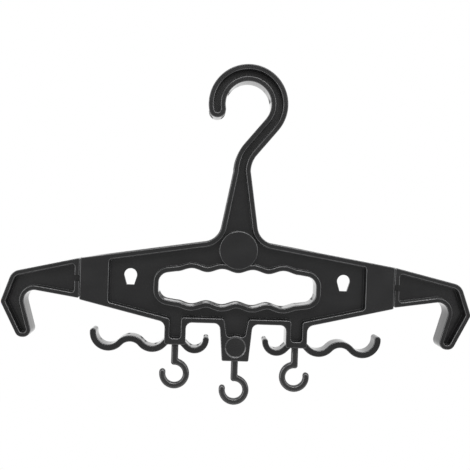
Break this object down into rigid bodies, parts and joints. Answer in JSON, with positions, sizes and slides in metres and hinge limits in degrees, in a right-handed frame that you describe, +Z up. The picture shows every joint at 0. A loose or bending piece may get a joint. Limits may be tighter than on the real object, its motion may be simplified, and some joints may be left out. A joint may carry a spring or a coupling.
{
  "type": "multi-purpose gear hanger",
  "caption": "Moulded plastic gear hanger with a rail hook, a hand slot, plug-in end arms, fixed side hooks and small swivelling hooks below.",
  "frame": {"origin": "point on the inner side of the rail hook where it bears on its rail, straight above the hanger's middle", "axes": "+X along the wings to the right seen from the front, +Y from the front face to the back face, +Z up"},
  "size_m": [0.4614, 0.0208, 0.3364],
  "materials": {
    "body_plastic": "satin injection-moulded black plastic",
    "arm_plastic": "satin injection-moulded black plastic",
    "hook_plastic": "satin injection-moulded black plastic"
  },
  "bodies": {
    "hanger": {"hanger_body": "body_plastic"},
    "left_arm_body": {"left_arm": "arm_plastic"},
    "right_arm_body": {"right_arm": "arm_plastic"},
    "left_hook_body": {"left_swivel_hook": "hook_plastic"},
    "centre_hook_body": {"centre_swivel_hook": "hook_plastic"},
    "right_hook_body": {"right_swivel_hook": "hook_plastic"}
  },
  "joints": [
    {"name": "left_arm_slide", "type": "slide", "parent": "hanger", "child": "left_arm_body", "axis": [-1, 0, 0], "range_m": [0, 0.026]},
    {"name": "right_arm_slide", "type": "slide", "parent": "hanger", "child": "right_arm_body", "axis": [1, 0, 0], "range_m": [0, 0.026]},
    {"name": "left_hook_swivel", "type": "hinge", "parent": "hanger", "child": "left_hook_body", "pos_m": [-0.05965, 0, -0.25925], "axis": [0, 0, 1], "continuous": true},
    {"name": "centre_hook_swivel", "type": "hinge", "parent": "hanger", "child": "centre_hook_body", "pos_m": [0, 0, -0.27385], "axis": [0, 0, 1], "continuous": true},
    {"name": "right_hook_swivel", "type": "hinge", "parent": "hanger", "child": "right_hook_body", "pos_m": [0.05965, 0, -0.25925], "axis": [0, 0, 1], "continuous": true}
  ]
}
